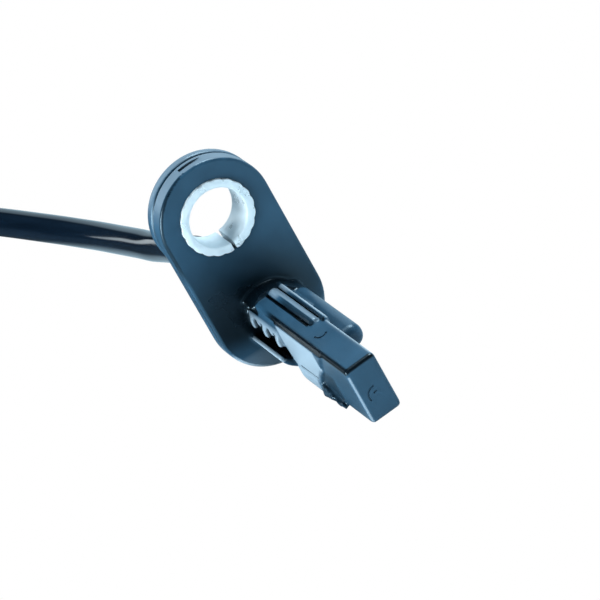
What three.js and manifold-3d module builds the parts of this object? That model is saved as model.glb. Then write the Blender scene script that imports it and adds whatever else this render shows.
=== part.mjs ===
// Wheel speed sensor of an anti-lock brake system, with its lead and two-way plug.
// Millimetres, +Z up. The origin is the middle of the flange's seat face. +X points out of that
// face, along the sensing head. +Z points from the head to the bolt sleeve.
import * as THREE from "three";
import { mergeVertices } from "three/addons/utils/BufferGeometryUtils.js";
import Module from "manifold-3d";

const wasm = await Module();
wasm.setup();

// Clearances
const mouldFit = 0.2;
const wireFit = 0.1;
const trimGap = 0.3;

// Bolt sleeve: a rolled steel strip, open at its seam
const boltHoleRadius = 4.2;
const sleeveWall = 1.22;
const sleeveProud = 0.4;
const sleeveSeam = 0.5;
const sleeveSeamAngle = -90;
const sleeveChamfer = 0.5;
const sleeveFlutes = 20;
const sleeveFluteDepth = 0.14;

// Flange
const flangeEndRadius = 8.25;
const flangeCentres = 16.1;
const seatPlateThickness = 2.85;
const rimGrooveWidth = 0.45;
const rimGrooveDepth = 0.45;
const backPlateThickness = 1.5;
const flangeEdge = 0.25;
const rimPocketLength = 3.6;
const rimPocketWidth = 0.55;
const rimPocketDepth = 0.5;
const rimPocketAngle = 85;

// Sensing head
const headDrop = 0.77;
const collarRadius = 4.95;
const collarLength = 3;
const bossRadius = 4.35;
const bossLength = 9.6;
const bossLip = 0.7;
const bladeWidth = 4.66;
const bladeHeight = 8.94;
const bladeCorner = 0.65;
const bladeEdge = 0.4;
const headReach = 32.1;
const headRoot = -1.6;

// Key rib along the head's +Y side
const keyRadius = 1.7;
const keyOut = 3.7;
const keyUp = 1;
const keyEnd = 20.3;
const keyNose = 1.1;

// Ridge on the blade's upper face, with a groove on its +Y side
const ridgeWidth = 1.7;
const ridgeHeight = 0.5;
const ridgeOffset = 1;
const ridgeEnd = 16.9;
const grooveWidth = 0.3;
const grooveDepth = 0.3;

// Raised pad on the blade's -Y side, its front edge slanting back as it goes down
const padProud = 0.3;
const padTop = 3.6;
const padFrontTop = 21.8;
const padBendDrop = 2.65;
const padFrontLow = 18.4;
const padBottom = 4;

// Moulding pocket on the head's -Y side, between the blade and the boss's outer wall, with its ribs
const pocketBack = 0.5;
const pocketRoof = 3;
const pocketWall = 0.65;
const pocketWallTop = -1;
const pocketFloor = -3.2;
const pocketFrontWall = 0.7;
const ribCount = 3;
const ribThickness = 1.1;
const ribStart = 0.3;
const ribPitch = 4.15;
const ribTop = 2.6;
const ribBottom = 0.2;
const ribReach = 1.1;

// Rear housing
const barrelRadius = 5.6;
const barrelEnd = 14;
const barrelEdge = 0.6;
const barrelBore = 3.6;

// Inner bay of the head
const bayWidth = 2.5;
const bayHeight = 6.4;
const tipWall = 1.1;
const carrierThickness = 0.6;
const carrierStart = -2.5;
const carrierRail = 0.5;
const chipLength = 4;
const chipHeight = 4.2;
const chipThickness = 1;
const magnetLength = 3.2;
const magnetHeight = 4;
const capacitorLength = 2.6;
const capacitorHeight = 3.6;
const partSpacing = 0.8;
const leadWidth = 0.9;
const leadThickness = 0.3;
const leadSpacing = 2.6;
const crimpLength = 2.6;
const crimpRadius = 0.65;
const conductorRadius = 0.35;
const coreRadius = 0.8;
const coreSpacing = 1.9;
const coreStrip = 1.2;

// Lead
const cableDiameter = 4.3;
const jacketStart = 12;
const bootCollarRadius = 4.5;
const bootFlange = 1.2;
const bootTipRadius = 2.85;
const bootEnd = 28;
const bootNeckRadius = 3.4;
const bootRings = 3;
const bootRingWidth = 1.1;
const bootRingPitch = 2.6;
const bootRingHeight = 0.45;

// Hank of the lead's spare length: one and a half long loops on the floor, held by two bands of tape
const hankRight = -133.5;
const hankLeft = -209.5;
const hankY = -10;
const foldRadius = 13.5;
const hankLayers = 2;
const bandThickness = 0.4;
const bandWidth = 8;
const bandCorner = 0.5;
const lowerBandX = -171;
const upperBandX = -203;

// Plug
const plugLength = 25;
const plugWidth = 16.5;
const plugHeight = 12.5;
const plugCorner = 3;
const socketDepth = 11.5;
const socketWidth = 13.8;
const socketHeight = 10;
const plugWallMiddle = 3;
const rearBayWidth = 11;
const rearBayHeight = 6.6;
const pinWidth = 1.5;
const pinThickness = 0.8;
const pinSpacing = 4.6;
const pinReach = 6.6;
const pinTail = 3.6;
const pinStop = 2.2;
const sealLength = 3.4;
const plugCapFlange = 1.6;
const plugCapLength = 10;
const plugCapNeckRadius = 3.5;
const latchWidth = 5;
const latchHeight = 1.4;
const latchLength = 4.5;
const lockWidth = 9;
const lockLength = 3;
const lockHeight = 0.9;
const plugX = -152;

// What follows from them
const cableRadius = cableDiameter / 2;
const boltZ = flangeCentres / 2;
const flangeEndZ = -flangeCentres / 2;
const headZ = flangeEndZ - headDrop;
const floorZ = flangeEndZ - flangeEndRadius;
const flangeThickness = seatPlateThickness + rimGrooveWidth + backPlateThickness;
const grooveBack = -seatPlateThickness - rimGrooveWidth;
const sleeveRadius = boltHoleRadius + sleeveWall;
const bladeHalf = bladeWidth / 2;
const bladeTop = bladeHeight / 2;
const hankBottom = floorZ + bandThickness + trimGap;
const hankTop = hankBottom + hankLayers * cableDiameter;
const plugY = hankY;
const plugZ = floorZ + plugHeight / 2;

const finishes = {
  housing: { color: 0x2d4356, roughness: 0.48, metalness: 0 },
  steel: { color: 0xc9d2da, roughness: 0.28, metalness: 1 },
  carrier: { color: 0x3a3a3c, roughness: 0.6, metalness: 0 },
  chip: { color: 0x17181a, roughness: 0.45, metalness: 0 },
  magnet: { color: 0x5b5d60, roughness: 0.5, metalness: 0.6 },
  ceramic: { color: 0xa8794a, roughness: 0.5, metalness: 0 },
  tinned: { color: 0xb9b3a6, roughness: 0.35, metalness: 1 },
  copper: { color: 0xb8693d, roughness: 0.35, metalness: 1 },
  coreBrown: { color: 0x5a3420, roughness: 0.5, metalness: 0 },
  coreBlue: { color: 0x27508f, roughness: 0.5, metalness: 0 },
  boot: { color: 0x141619, roughness: 0.6, metalness: 0 },
  jacket: { color: 0x0d1a26, roughness: 0.3, metalness: 0 },
  tape: { color: 0x101113, roughness: 0.55, metalness: 0 },
  plug: { color: 0x1b1d20, roughness: 0.5, metalness: 0 },
  seal: { color: 0x9a4a2c, roughness: 0.65, metalness: 0 },
  lock: { color: 0xb4b8ba, roughness: 0.5, metalness: 0 },
};

// Solids

function signedVolume(points, index) {
  let sum = 0;
  const a = new THREE.Vector3();
  const b = new THREE.Vector3();
  const c = new THREE.Vector3();
  for (let i = 0; i < index.length; i += 3) {
    a.fromArray(points, 3 * index[i]);
    b.fromArray(points, 3 * index[i + 1]);
    c.fromArray(points, 3 * index[i + 2]);
    sum += a.dot(b.cross(c));
  }
  return sum;
}

// A closed geometry as a solid, with its faces turned outwards.
function solid(geometry) {
  const bare = geometry.clone();
  bare.deleteAttribute("normal");
  bare.deleteAttribute("uv");
  const merged = mergeVertices(bare, 1e-4);
  const vertProperties = new Float32Array(merged.attributes.position.array);
  const triVerts = new Uint32Array(merged.index.array);
  if (signedVolume(vertProperties, triVerts) < 0) {
    for (let i = 0; i < triVerts.length; i += 3) {
      const keep = triVerts[i];
      triVerts[i] = triVerts[i + 1];
      triVerts[i + 1] = keep;
    }
  }
  return new wasm.Manifold(new wasm.Mesh({ numProp: 3, vertProperties, triVerts }));
}

function geometryOf(body) {
  const shape = body.getMesh();
  const geometry = new THREE.BufferGeometry();
  geometry.setAttribute("position", new THREE.BufferAttribute(shape.vertProperties, 3));
  geometry.setIndex(new THREE.BufferAttribute(shape.triVerts, 1));
  return geometry;
}

function named(name, finish, body) {
  const mesh = new THREE.Mesh(geometryOf(body), new THREE.MeshStandardMaterial(finishes[finish]));
  mesh.name = name;
  return mesh;
}

function joined(bodies) {
  return bodies.reduce((sum, body) => sum.add(body));
}

// Extrudes an outline drawn in Y and Z along X, with optional rounded ends.
function alongX(shape, start, end, edge = 0, curveSegments = 10) {
  const geometry = new THREE.ExtrudeGeometry(shape, {
    depth: end - start - 2 * edge,
    bevelEnabled: edge > 0,
    bevelThickness: edge,
    bevelSize: edge,
    bevelOffset: -edge,
    bevelSegments: 2,
    curveSegments,
  });
  const turn = new THREE.Matrix4().makeBasis(
    new THREE.Vector3(0, 1, 0),
    new THREE.Vector3(0, 0, 1),
    new THREE.Vector3(1, 0, 0),
  );
  geometry.applyMatrix4(turn);
  geometry.translate(start + edge, 0, 0);
  return solid(geometry);
}

// Extrudes an outline drawn in X and Z along Y.
function alongY(shape, start, end) {
  const geometry = new THREE.ExtrudeGeometry(shape, {
    depth: end - start,
    bevelEnabled: false,
    curveSegments: 8,
  });
  geometry.rotateX(Math.PI / 2);
  geometry.translate(0, end, 0);
  return solid(geometry);
}

// Turns a closed profile of [x, radius] points round an axis along X at height z.
function turnedX(profile, z, steps = 48) {
  const points = profile.map(([x, radius]) => new THREE.Vector2(radius, x));
  const geometry = new THREE.LatheGeometry(points, steps);
  const turn = new THREE.Matrix4().makeBasis(
    new THREE.Vector3(0, 1, 0),
    new THREE.Vector3(1, 0, 0),
    new THREE.Vector3(0, 0, -1),
  );
  geometry.applyMatrix4(turn);
  geometry.translate(0, 0, z);
  return solid(geometry);
}

function rodX(start, end, radius, y, z, steps = 48) {
  const geometry = new THREE.CylinderGeometry(radius, radius, end - start, steps);
  geometry.rotateZ(Math.PI / 2);
  geometry.translate((start + end) / 2, y, z);
  return solid(geometry);
}

function block(x0, x1, y0, y1, z0, z1) {
  const geometry = new THREE.BoxGeometry(x1 - x0, y1 - y0, z1 - z0);
  geometry.translate((x0 + x1) / 2, (y0 + y1) / 2, (z0 + z1) / 2);
  return solid(geometry);
}

function polygon(points) {
  return new THREE.Shape(points.map(([x, y]) => new THREE.Vector2(x, y)));
}

function roundedRectangle(width, height, radius, y = 0, z = 0) {
  const shape = new THREE.Shape();
  const w = width / 2 - radius;
  const h = height / 2 - radius;
  shape.absarc(y + w, z + h, radius, 0, Math.PI / 2, false);
  shape.absarc(y - w, z + h, radius, Math.PI / 2, Math.PI, false);
  shape.absarc(y - w, z - h, radius, Math.PI, 1.5 * Math.PI, false);
  shape.absarc(y + w, z - h, radius, 1.5 * Math.PI, 2 * Math.PI, false);
  return shape;
}

// Two round ends joined by their outer tangents, one above the other.
function teardrop(topRadius, topZ, lowRadius, lowZ) {
  const lean = Math.asin((topRadius - lowRadius) / (topZ - lowZ));
  const shape = new THREE.Shape();
  shape.absarc(0, topZ, topRadius, -lean, Math.PI + lean, false);
  shape.absarc(0, lowZ, lowRadius, Math.PI + lean, 2 * Math.PI - lean, false);
  return shape;
}

// Bolt sleeve

function sleeveOutline(inner, outer, seam, fluteDepth) {
  const shape = new THREE.Shape();
  const seamAngle = THREE.MathUtils.degToRad(sleeveSeamAngle);
  const steps = sleeveFlutes * 6;
  const outerHalf = seam / 2 / outer;
  const innerHalf = seam / 2 / inner;
  for (let i = 0; i <= steps; i += 1) {
    const angle = seamAngle + outerHalf + (2 * Math.PI - 2 * outerHalf) * (i / steps);
    const flute = fluteDepth * Math.abs(Math.sin((sleeveFlutes * (angle - seamAngle)) / 2));
    const radius = outer - fluteDepth + flute;
    const y = radius * Math.cos(angle);
    const z = boltZ + radius * Math.sin(angle);
    if (i === 0) {
      shape.moveTo(y, z);
    } else {
      shape.lineTo(y, z);
    }
  }
  for (let i = 0; i <= steps / 2; i += 1) {
    const angle = seamAngle - innerHalf - (2 * Math.PI - 2 * innerHalf) * ((2 * i) / steps);
    shape.lineTo(inner * Math.cos(angle), boltZ + inner * Math.sin(angle));
  }
  return shape;
}

function boltSleeve() {
  const back = -flangeThickness - sleeveProud / 2;
  const tube = alongX(sleeveOutline(boltHoleRadius, sleeveRadius, sleeveSeam, sleeveFluteDepth), back, sleeveProud);
  const chamferCut = (x, out) => turnedX([
    [x + out * 0.01, 0],
    [x + out * 0.01, boltHoleRadius + sleeveChamfer],
    [x - out * sleeveChamfer, boltHoleRadius],
    [x - out * sleeveChamfer, 0],
  ], boltZ);
  return tube.subtract(chamferCut(sleeveProud, 1)).subtract(chamferCut(back, -1));
}

// Sensor body: flange, head and rear housing in one moulding

function flange() {
  const seatEnds = teardrop(flangeEndRadius, boltZ, flangeEndRadius, flangeEndZ);
  const seat = alongX(seatEnds, -seatPlateThickness, 0, flangeEdge, 28);
  const neckRadius = flangeEndRadius - rimGrooveDepth;
  const neckEnds = teardrop(neckRadius, boltZ, barrelRadius - rimGrooveDepth, headZ);
  const neck = alongX(neckEnds, grooveBack - flangeEdge, -seatPlateThickness + flangeEdge, 0, 28);
  const backEnds = teardrop(flangeEndRadius, boltZ, barrelRadius, headZ);
  const back = alongX(backEnds, -flangeThickness, grooveBack, flangeEdge, 28);
  return joined([seat, neck, back]);
}

function rimPocket() {
  const middleX = -seatPlateThickness / 2;
  const cutter = new THREE.BoxGeometry(rimPocketWidth, rimPocketLength, 2 * rimPocketDepth);
  cutter.translate(middleX, 0, flangeEndRadius);
  cutter.rotateX(THREE.MathUtils.degToRad(rimPocketAngle - 90));
  cutter.translate(0, 0, boltZ);
  return solid(cutter);
}

function boss() {
  const collar = turnedX([
    [headRoot, 0],
    [headRoot, collarRadius],
    [collarLength - flangeEdge, collarRadius],
    [collarLength, collarRadius - flangeEdge],
    [collarLength, 0],
  ], headZ);
  const upper = block(headRoot - 1, collarLength + 1, -collarRadius - 1, collarRadius + 1,
    headZ + pocketWallTop, headZ + collarRadius + 1);
  const stub = turnedX([
    [headRoot + 0.3, 0],
    [headRoot + 0.3, bossRadius],
    [bossLength - bossLip, bossRadius],
    [bossLength - bossLip * 0.3, bossRadius - bossLip * 0.3],
    [bossLength, bossRadius - bossLip],
    [bossLength, 0],
  ], headZ);
  return collar.intersect(upper).add(stub);
}

function blade() {
  const outline = roundedRectangle(bladeWidth, bladeHeight, bladeCorner, 0, headZ);
  return alongX(outline, headRoot, headReach, bladeEdge);
}

function keyRib() {
  const width = keyOut + keyRadius;
  const outline = roundedRectangle(width, 2 * keyRadius, 0.95 * keyRadius, width / 2, headZ + keyUp);
  return alongX(outline, headRoot + 0.1, keyEnd, keyNose);
}

function topRidge() {
  const z = headZ + bladeTop;
  const outline = roundedRectangle(ridgeWidth, ridgeHeight + 1, 0.3, ridgeOffset, z + ridgeHeight - (ridgeHeight + 1) / 2);
  return alongX(outline, collarLength - 1, ridgeEnd, 0.2);
}

function topGroove() {
  const z = headZ + bladeTop;
  const y = ridgeOffset + ridgeWidth / 2;
  return block(collarLength + 0.2, ridgeEnd, y - 0.1, y + grooveWidth, z - grooveDepth, z + ridgeHeight + 1);
}

function sidePad() {
  const outline = polygon([
    [bossLength - 1, headZ + padTop],
    [bossLength - 1, headZ - padBottom],
    [padFrontLow, headZ - padBottom],
    [padFrontLow, headZ + padTop - 2 * padBendDrop],
    [padFrontTop, headZ + padTop - padBendDrop],
    [padFrontTop, headZ + padTop],
  ]);
  return alongY(outline, -bladeHalf - padProud, -bladeHalf + padProud);
}

function sidePocket() {
  const above = block(pocketBack, bossLength + 1, -collarRadius - 1, -bladeHalf, headZ + pocketWallTop,
    headZ + pocketRoof);
  const hollow = rodX(pocketBack, bossLength - pocketFrontWall, bossRadius - pocketWall, 0, headZ);
  const reach = block(pocketBack, bossLength, -collarRadius, -bladeHalf, headZ + pocketFloor,
    headZ + pocketWallTop + pocketWall);
  return above.add(hollow.intersect(reach));
}

function pocketRibs() {
  const ribs = [];
  const root = -bladeHalf + 0.3;
  const outer = -bladeHalf - ribReach;
  const outline = polygon([
    [root, headZ + ribTop],
    [outer + ribReach * 0.7, headZ + ribTop],
    [outer, headZ + ribBottom + (ribTop - ribBottom) * 0.3],
    [outer, headZ + ribBottom],
    [root, headZ + ribBottom],
  ]);
  for (let i = 0; i < ribCount; i += 1) {
    const start = ribStart + i * ribPitch;
    ribs.push(alongX(outline, start, start + ribThickness));
  }
  return joined(ribs);
}

function rearBarrel() {
  return turnedX([
    [-barrelEnd, 0],
    [-barrelEnd, barrelRadius - barrelEdge],
    [-barrelEnd + barrelEdge, barrelRadius],
    [grooveBack, barrelRadius],
    [grooveBack, 0],
  ], headZ);
}

const bayHalf = bayWidth / 2;
const bayEnd = headReach - tipWall;

function innerBay() {
  const top = bayHeight / 2;
  const bay = block(carrierStart - mouldFit, bayEnd, -bayHalf, bayHalf, headZ - top, headZ + top);
  const bore = rodX(-barrelEnd - 1, carrierStart, barrelBore, 0, headZ);
  return bay.add(bore);
}

function sensorBody() {
  const sleeveHole = rodX(-flangeThickness - 1, 1, sleeveRadius + mouldFit, 0, boltZ, 48);
  const head = joined([boss(), blade(), keyRib(), topRidge(), sidePad()]);
  const ribbedHead = head.subtract(sidePocket()).add(pocketRibs()).subtract(topGroove());
  const outside = joined([ribbedHead, flange(), rearBarrel()]);
  return outside.subtract(joined([sleeveHole, rimPocket(), innerBay()]));
}

// Inner parts of the head. The carrier's floor lies on -Y, and what it holds lies on +Y of it.

const carrierFace = -bayHalf + mouldFit + carrierThickness;
const carrierEnd = bayEnd - mouldFit;
const carrierHalf = bayHeight / 2 - mouldFit;
const chipX = carrierEnd - carrierRail - mouldFit - chipLength;
const magnetX = chipX - partSpacing - magnetLength;
const capacitorX = magnetX - partSpacing - capacitorLength;
const leadFace = carrierFace + mouldFit;
const leadStart = carrierStart + crimpLength + 1;
const leadEnd = capacitorX - mouldFit;

function chipCarrier() {
  const back = -bayHalf + mouldFit;
  const railTop = bayHalf - mouldFit;
  const floorPlate = block(carrierStart, carrierEnd, back, carrierFace, headZ - carrierHalf, headZ + carrierHalf);
  const low = block(leadEnd, carrierEnd, carrierFace - 0.1, railTop, headZ - carrierHalf,
    headZ - carrierHalf + carrierRail);
  const high = block(leadEnd, carrierEnd, carrierFace - 0.1, railTop, headZ + carrierHalf - carrierRail,
    headZ + carrierHalf);
  const end = block(carrierEnd - carrierRail, carrierEnd, carrierFace - 0.1, railTop, headZ - carrierHalf,
    headZ + carrierHalf);
  return joined([floorPlate, low, high, end]);
}

function seatedBlock(x, length, height) {
  return block(x, x + length, leadFace, leadFace + chipThickness, headZ - height / 2, headZ + height / 2);
}

// One stamped lead: a strip on the carrier, with an open barrel at its rear end for the wire.
function leadStrip(side) {
  const z = headZ + side * leadSpacing / 2;
  const strip = block(leadStart - 0.4, leadEnd, leadFace, leadFace + leadThickness, z - leadWidth / 2,
    z + leadWidth / 2);
  const barrelY = leadFace + crimpRadius;
  const barrel = rodX(leadStart - crimpLength, leadStart, crimpRadius, barrelY, z, 16);
  const bore = rodX(leadStart - crimpLength - 1, leadStart + 1, conductorRadius + wireFit, barrelY, z, 16);
  const mouth = block(leadStart - crimpLength - 1, leadStart + 1, barrelY, barrelY + 2, z - conductorRadius,
    z + conductorRadius);
  return barrel.subtract(bore).subtract(mouth).add(strip.subtract(bore));
}

const crimpY = leadFace + crimpRadius;
const insulationEnd = leadStart - crimpLength - coreStrip;

function wirePath(side, start, end, tip) {
  const z = headZ + side * leadSpacing / 2;
  const rear = headZ + side * coreSpacing / 2;
  const points = [
    new THREE.Vector3(start, 0, rear),
    new THREE.Vector3(start + (end - start) * 0.25, 0, rear),
    new THREE.Vector3(start + (end - start) * 0.75, crimpY, z),
    new THREE.Vector3(end, crimpY, z),
  ];
  if (tip > end) {
    points.push(new THREE.Vector3(tip, crimpY, z));
  }
  return new THREE.CatmullRomCurve3(points);
}

function roundSection(radius, sides) {
  const shape = new THREE.Shape();
  for (let i = 0; i < sides; i += 1) {
    const angle = (2 * Math.PI * i) / sides;
    const x = radius * Math.cos(angle);
    const y = radius * Math.sin(angle);
    if (i === 0) {
      shape.moveTo(x, y);
    } else {
      shape.lineTo(x, y);
    }
  }
  return shape;
}

function tubeAlong(path, radius, sides, steps, holeRadius = 0) {
  const section = roundSection(radius, sides);
  if (holeRadius > 0) {
    section.holes.push(roundSection(holeRadius, sides));
  }
  return solid(new THREE.ExtrudeGeometry(section, { extrudePath: path, steps }));
}

const coreStart = -jacketStart + trimGap;

function conductor(side) {
  return tubeAlong(wirePath(side, coreStart, insulationEnd, leadStart - 0.2), conductorRadius, 8, 12);
}

function insulation(side) {
  const path = wirePath(side, coreStart, insulationEnd, insulationEnd);
  return tubeAlong(path, coreRadius, 10, 10, conductorRadius + wireFit);
}

// Lead: the boot, the free stretch, the hank and the tail to the plug

function boot() {
  const bore = cableRadius + trimGap;
  const plugEnd = -barrelEnd + 3;
  const profile = [
    [plugEnd, bore],
    [plugEnd, barrelBore - mouldFit],
    [-barrelEnd - trimGap / 2, barrelBore - mouldFit],
    [-barrelEnd - trimGap / 2, bootCollarRadius],
    [-barrelEnd - bootFlange, bootCollarRadius],
    [-barrelEnd - bootFlange - 0.6, bootNeckRadius],
  ];
  for (let i = 0; i < bootRings; i += 1) {
    const start = barrelEnd + bootFlange + 1.6 + i * bootRingPitch;
    const share = (start - barrelEnd) / (bootEnd - barrelEnd);
    const radius = bootNeckRadius + (bootTipRadius - bootNeckRadius) * share;
    profile.push([-start, radius]);
    profile.push([-start - 0.25, radius + bootRingHeight]);
    profile.push([-start - bootRingWidth + 0.25, radius + bootRingHeight]);
    profile.push([-start - bootRingWidth, radius]);
  }
  profile.push([-bootEnd + 0.3, bootTipRadius]);
  profile.push([-bootEnd, bootTipRadius - 0.2]);
  profile.push([-bootEnd, bore]);
  profile.push(profile[0]);
  return turnedX(profile, headZ, 32);
}

// The stretch from the boot to the hank: straight out, down to the floor, then along it.
const leadRoute = [
  [-jacketStart, 0, headZ],
  [-20, 0, headZ],
  [-bootEnd, 0, headZ],
  [-34.5, -0.58, -9.85],
  [-41.3, -1.56, -11.4],
  [-46.5, -2.24, -12.25],
  [-53.1, -3.29, -13.25],
  [-59, -4.51, -13.85],
  [-64.1, -5.96, -14.08],
  [-68.8, -7.5, -14.1],
  [-73.4, -9.1, -14.1],
  [-78.1, -10.74, -14.1],
  [-81.6, -12, -14.1],
  [-88, -14.35, -14.1],
  [-95, -16.8, -14.1],
  [-102, -19.1, -14.1],
  [-109, -21, -14.05],
  [-116, -22.4, -13.9],
  [-123, -23.2, -13.7],
  [-133.5, -23.5, -13.45],
];

// The stretch from the hank's upper layer, over to its middle line and down to the plug.
const tailRoute = [
  [-200, 3.5, -9.15],
  [-195, 2.87, -9.15],
  [-190, 0.83, -9.25],
  [-185, -3.25, -9.5],
  [-180, -7.33, -9.8],
  [-175, -9.37, -10],
  [-170, -10, -10.05],
  [-163, -10, -10.05],
  [-157, -10, -10.05],
];

function routeCurve(points) {
  return new THREE.CatmullRomCurve3(points.map(([x, y, z]) => new THREE.Vector3(x, y, z)));
}

function loopOutline(radius) {
  const outline = new THREE.Shape();
  outline.absarc(hankRight, hankY, radius, -Math.PI / 2, Math.PI / 2, false);
  outline.absarc(hankLeft, hankY, radius, Math.PI / 2, 1.5 * Math.PI, false);
  return outline;
}

// The hank's outer shape, larger all round by grow.
function hankSolid(grow) {
  const shape = loopOutline(foldRadius + cableRadius + grow);
  shape.holes.push(loopOutline(foldRadius - cableRadius - grow));
  const geometry = new THREE.ExtrudeGeometry(shape, {
    depth: hankTop - hankBottom + 2 * grow,
    bevelEnabled: false,
    curveSegments: 24,
  });
  geometry.translate(0, 0, hankBottom - grow);
  return solid(geometry);
}

// A band of tape round one run of the hank.
function hankBand(x, side) {
  const y = hankY + side * foldRadius;
  const middle = (hankBottom + hankTop) / 2;
  const width = cableDiameter + 2 * trimGap;
  const height = hankTop - hankBottom + 2 * trimGap;
  const thick = 2 * bandThickness;
  const outline = roundedRectangle(width + thick, height + thick, bandCorner + bandThickness, y, middle);
  outline.holes.push(roundedRectangle(width, height, bandCorner, y, middle));
  return alongX(outline, x - bandWidth / 2, x + bandWidth / 2, 0, 4);
}

// Plug, in its own frame: the socket opens towards +X, and the lead enters from -X

const wallBack = plugLength - socketDepth - plugWallMiddle;
const wallFront = plugLength - socketDepth;
const socketFloorX = wallFront;

function plugSlot(side) {
  const y = side * pinSpacing / 2;
  const w = pinWidth / 2 + mouldFit;
  const h = pinThickness / 2 + mouldFit;
  return block(wallBack - 1, wallFront + 1, y - w, y + w, -h, h);
}

function plugShell() {
  const outside = alongX(roundedRectangle(plugWidth, plugHeight, plugCorner), 0, plugLength, 0.4);
  const socket = alongX(roundedRectangle(socketWidth, socketHeight, plugCorner - 1.2), socketFloorX, plugLength + 1);
  const rear = alongX(roundedRectangle(rearBayWidth, rearBayHeight, 1.6), -1, wallBack);
  const lockBay = block(wallBack - lockLength - 1, wallBack - 1, -lockWidth / 2 - mouldFit,
    lockWidth / 2 + mouldFit, 0, plugHeight);
  const latch = polygon([
    [plugLength - latchLength - 3, plugHeight / 2 - 0.3],
    [plugLength - 3, plugHeight / 2 - 0.3],
    [plugLength - 3.4, plugHeight / 2 + 0.2],
    [plugLength - latchLength - 2.2, plugHeight / 2 + latchHeight],
    [plugLength - latchLength - 3, plugHeight / 2 + latchHeight],
  ].reverse());
  const ramp = alongY(latch, -latchWidth / 2, latchWidth / 2);
  return joined([outside, ramp]).subtract(joined([socket, rear, lockBay, plugSlot(-1), plugSlot(1)]));
}

function plugPin(side) {
  const y = side * pinSpacing / 2;
  const blade = block(wallBack - pinTail, wallFront + pinReach, y - pinWidth / 2, y + pinWidth / 2,
    -pinThickness / 2, pinThickness / 2);
  const stop = block(wallBack - pinStop - mouldFit, wallBack - mouldFit, y - pinWidth / 2 - 0.35,
    y + pinWidth / 2 + 0.35, -pinThickness / 2, pinThickness / 2 + 0.5);
  const barrelStart = wallBack - pinTail - crimpLength;
  const barrel = rodX(barrelStart, wallBack - pinTail + 0.3, crimpRadius, y, 0, 16);
  const bore = rodX(barrelStart - 1, wallBack - pinTail - 0.2, conductorRadius + wireFit, y, 0, 16);
  return joined([blade, stop, barrel.subtract(bore)]);
}

const plugCoreEnd = wallBack - pinTail - crimpLength - 0.3;
const sealEnd = plugCoreEnd - 0.2;
const sealStart = sealEnd - sealLength;

function plugSeal() {
  const body = alongX(roundedRectangle(rearBayWidth - 2 * mouldFit, rearBayHeight - 2 * mouldFit, 1.5), sealStart,
    sealEnd);
  const holes = [-1, 1].map((side) => rodX(sealStart - 1, sealEnd + 1, coreRadius + wireFit, side * pinSpacing / 2,
    0, 16));
  return body.subtract(joined(holes));
}

const plugJacketEnd = -plugCapLength + 6;
const plugCoreStart = plugJacketEnd + trimGap;

function plugCorePath(side, tip) {
  const y = side * pinSpacing / 2;
  const rear = side * coreSpacing / 2;
  const points = [
    new THREE.Vector3(plugCoreStart, rear, 0),
    new THREE.Vector3(plugCoreStart + 1.5, rear, 0),
    new THREE.Vector3(sealStart - 1.2, y, 0),
    new THREE.Vector3(sealStart + 0.5, y, 0),
    new THREE.Vector3(plugCoreEnd, y, 0),
  ];
  if (tip > plugCoreEnd) {
    points.push(new THREE.Vector3(tip, y, 0));
  }
  return new THREE.CatmullRomCurve3(points);
}

function plugCore(side) {
  return tubeAlong(plugCorePath(side, plugCoreEnd), coreRadius, 10, 12, conductorRadius + wireFit);
}

function plugConductor(side) {
  return tubeAlong(plugCorePath(side, wallBack - pinTail - 0.4), conductorRadius, 8, 14);
}

function plugLock() {
  const x0 = wallBack - lockLength - 1 + mouldFit;
  const x1 = wallBack - 1 - mouldFit;
  const low = rearBayHeight / 2 + 0.1;
  const bar = block(x0, x1, -lockWidth / 2, lockWidth / 2, low, plugHeight / 2 + lockHeight);
  const grip = block(x0 + lockLength * 0.35, x1 - lockLength * 0.3, -lockWidth / 4, lockWidth / 4,
    plugHeight / 2 + lockHeight * 0.5, plugHeight / 2 + lockHeight + 1);
  return bar.subtract(grip);
}

// The cap closes the plug's rear and tapers down to the lead as its strain relief.
function plugCap() {
  const bore = cableRadius + trimGap;
  const flangePlate = alongX(roundedRectangle(plugWidth - 1, plugHeight - 1, plugCorner - 0.5),
    -trimGap / 2 - plugCapFlange, -trimGap / 2, 0.3);
  const spigot = alongX(roundedRectangle(rearBayWidth - 2 * mouldFit, rearBayHeight - 2 * mouldFit, 1.5),
    -trimGap / 2 - 0.3, sealStart - trimGap);
  const neck = turnedX([
    [-trimGap / 2 - 0.5, 0],
    [-trimGap / 2 - 0.5, plugCapNeckRadius + 0.6],
    [-plugCapFlange - 1.5, plugCapNeckRadius],
    [-plugCapLength + 0.4, cableRadius + 0.75],
    [-plugCapLength, cableRadius + 0.55],
    [-plugCapLength, 0],
  ], 0, 32);
  const through = rodX(-plugCapLength - 1, plugJacketEnd + 1, bore, 0, 0, 24);
  const coreBay = block(plugJacketEnd, sealStart + 1, -pinSpacing / 2 - 1, pinSpacing / 2 + 1, -coreRadius - 0.3,
    coreRadius + 0.3);
  return joined([flangePlate, spigot, neck]).subtract(joined([through, coreBay]));
}

// Assembly

const sensor = new THREE.Group();
sensor.add(named("sensor_body", "housing", sensorBody()));
sensor.add(named("bolt_sleeve", "steel", boltSleeve()));
sensor.add(named("chip_carrier", "carrier", chipCarrier()));
sensor.add(named("sensor_chip", "chip", seatedBlock(chipX, chipLength, chipHeight)));
sensor.add(named("bias_magnet", "magnet", seatedBlock(magnetX, magnetLength, magnetHeight)));
sensor.add(named("capacitor", "ceramic", seatedBlock(capacitorX, capacitorLength, capacitorHeight)));

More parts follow.
